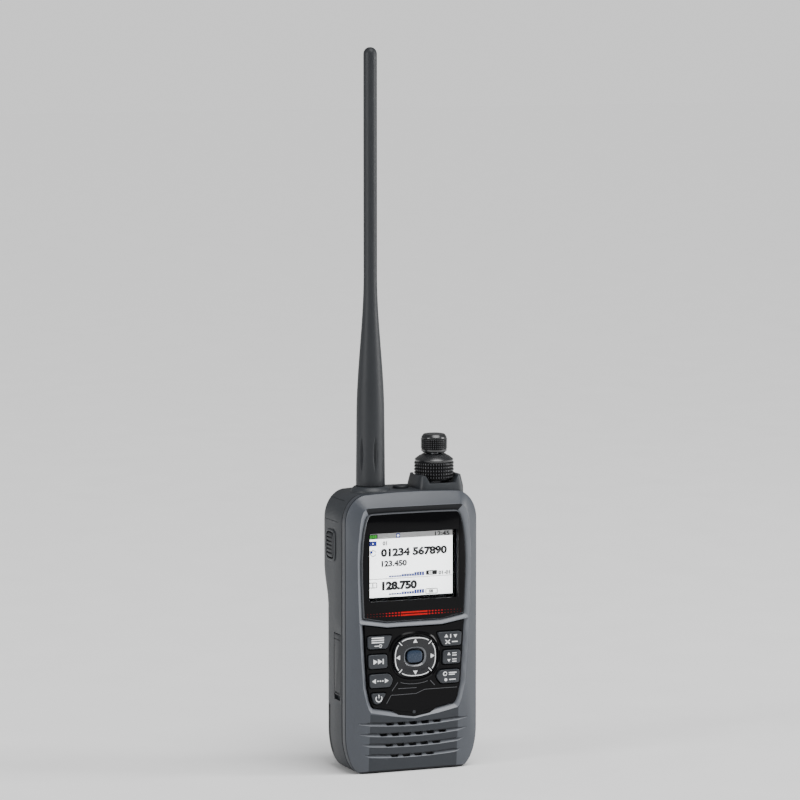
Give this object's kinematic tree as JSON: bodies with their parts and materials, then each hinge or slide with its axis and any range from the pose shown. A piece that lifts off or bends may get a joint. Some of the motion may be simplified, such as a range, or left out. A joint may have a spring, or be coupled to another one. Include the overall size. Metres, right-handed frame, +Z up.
{
  "type": "handheld radio receiver",
  "caption": "Handheld airband radio with whip antenna, concentric knobs, colour display, keypad with four-way pad, and slide-off battery pack.",
  "frame": {"origin": "middle of the flat underside that the radio stands on, between the front and the back of the rear case's base", "axes": "+Z up along the case and the antenna, -Y out of the front with the display, +X to the right of the front"},
  "size_m": [0.0589, 0.0313, 0.297],
  "materials": {
    "front_case": "satin",
    "rear_case": "fine texture",
    "gloss_panel": "gloss",
    "display": "satin",
    "key": "satin",
    "knob": "satin",
    "soft_rubber": "matte",
    "silicone": "matte",
    "circuit_board": "satin",
    "black_plastic": "matte",
    "steel": "brushed",
    "brass": "satin",
    "casting": "as cast",
    "cell_wrap": "satin"
  },
  "bodies": {
    "radio": {"front_case": "front_case", "rear_case": "rear_case", "case_seal": "soft_rubber", "display_window": "gloss_panel", "display_module": "display", "display_ribbon": "brass", "keypad_bezel": "gloss_panel", "keypad_mat": "silicone", "keypad_board": "circuit_board", "main_board": "circuit_board", "shield_can": "steel", "chassis_frame": "casting", "speaker": "black_plastic", "speaker_mesh": "black_plastic", "terminal_block": "black_plastic", "card_socket": "steel", "usb_socket": "steel", "side_button_frame": "rear_case", "side_switch": "black_plastic", "ear_jack": "black_plastic", "antenna_jack": "brass", "encoder_body": "steel", "encoder_nut": "steel", "case_screw_1": "steel", "case_screw_2": "steel", "case_screw_3": "steel", "case_screw_4": "steel"},
    "key_menu": {"key_menu": "key"},
    "key_skip": {"key_skip": "key"},
    "key_scan": {"key_scan": "key"},
    "key_power": {"key_power": "key"},
    "key_band": {"key_band": "key"},
    "key_memory": {"key_memory": "key"},
    "key_record": {"key_record": "key"},
    "dpad_rocker": {"dpad_rocker": "silicone"},
    "dpad_ring": {"dpad_ring": "key"},
    "dpad_centre_key": {"dpad_centre_key": "key"},
    "side_button": {"side_button": "soft_rubber"},
    "tuning_knob": {"tuning_knob": "knob", "tuning_shaft": "steel"},
    "volume_knob": {"volume_knob": "knob", "volume_shaft": "steel"},
    "side_flap": {"side_flap": "soft_rubber"},
    "jack_cap": {"jack_cap": "soft_rubber"},
    "antenna": {"antenna_sheath": "soft_rubber", "antenna_plug": "brass", "antenna_core": "steel"},
    "battery": {"battery_case": "black_plastic", "battery_cover": "black_plastic", "battery_cell_1": "cell_wrap", "battery_cell_2": "cell_wrap"},
    "battery_latch": {"battery_latch": "black_plastic"}
  },
  "joints": [
    {"name": "key_menu_press", "type": "slide", "parent": "radio", "child": "key_menu", "axis": [0, 1, 0], "range_m": [0, 0.0004], "stiffness_N_per_m": 2500},
    {"name": "key_skip_press", "type": "slide", "parent": "radio", "child": "key_skip", "axis": [0, 1, 0], "range_m": [0, 0.0004], "stiffness_N_per_m": 2500},
    {"name": "key_scan_press", "type": "slide", "parent": "radio", "child": "key_scan", "axis": [0, 1, 0], "range_m": [0, 0.0004], "stiffness_N_per_m": 2500},
    {"name": "key_power_press", "type": "slide", "parent": "radio", "child": "key_power", "axis": [0, 1, 0], "range_m": [0, 0.0004], "stiffness_N_per_m": 2500},
    {"name": "key_band_press", "type": "slide", "parent": "radio", "child": "key_band", "axis": [0, 1, 0], "range_m": [0, 0.0004], "stiffness_N_per_m": 2500},
    {"name": "key_memory_press", "type": "slide", "parent": "radio", "child": "key_memory", "axis": [0, 1, 0], "range_m": [0, 0.0004], "stiffness_N_per_m": 2500},
    {"name": "key_record_press", "type": "slide", "parent": "radio", "child": "key_record", "axis": [0, 1, 0], "range_m": [0, 0.0004], "stiffness_N_per_m": 2500},
    {"name": "dpad_tilt_up_down", "type": "hinge", "parent": "radio", "child": "dpad_rocker", "pos_m": [0, -0.0133, 0.0481], "axis": [1, 0, 0], "range_deg": [-2, 2], "stiffness_Nm_per_rad": 1.2},
    {"name": "dpad_tilt_left_right", "type": "hinge", "parent": "dpad_rocker", "child": "dpad_ring", "pos_m": [0, -0.0133, 0.0481], "axis": [0, 0, 1], "range_deg": [-2, 2], "stiffness_Nm_per_rad": 1.2},
    {"name": "dpad_centre_key_press", "type": "slide", "parent": "radio", "child": "dpad_centre_key", "axis": [0, 1, 0], "range_m": [0, 0.0004], "stiffness_N_per_m": 2500},
    {"name": "side_button_press", "type": "slide", "parent": "radio", "child": "side_button", "axis": [1, 0, 0], "range_m": [0, 0.0005], "stiffness_N_per_m": 3000},
    {"name": "tuning_knob_turn", "type": "hinge", "parent": "radio", "child": "tuning_knob", "pos_m": [0.0149, 0, 0.124], "axis": [0, 0, 1], "continuous": true},
    {"name": "volume_knob_turn", "type": "hinge", "parent": "radio", "child": "volume_knob", "pos_m": [0.0149, 0, 0.134], "axis": [0, 0, 1], "continuous": true},
    {"name": "side_flap_open", "type": "hinge", "parent": "radio", "child": "side_flap", "pos_m": [-0.029, -0.0025, 0.0572], "axis": [0, 1, 0], "range_deg": [0, 110]},
    {"name": "jack_cap_open", "type": "hinge", "parent": "radio", "child": "jack_cap", "pos_m": [0, 0.0046, 0.1165], "axis": [-1, 0, 0], "range_deg": [0, 110]},
    {"name": "antenna_turn", "type": "hinge", "parent": "radio", "child": "antenna", "pos_m": [-0.0133, 0, 0.12], "axis": [0, 0, 1], "continuous": true},
    {"name": "battery_slide", "type": "slide", "parent": "radio", "child": "battery", "axis": [0, 1, 0], "range_m": [0, 0.02]},
    {"name": "battery_latch_slide", "type": "slide", "parent": "battery", "child": "battery_latch", "axis": [0, 0, 1], "range_m": [0, 0.0025], "stiffness_N_per_m": 300}
  ]
}
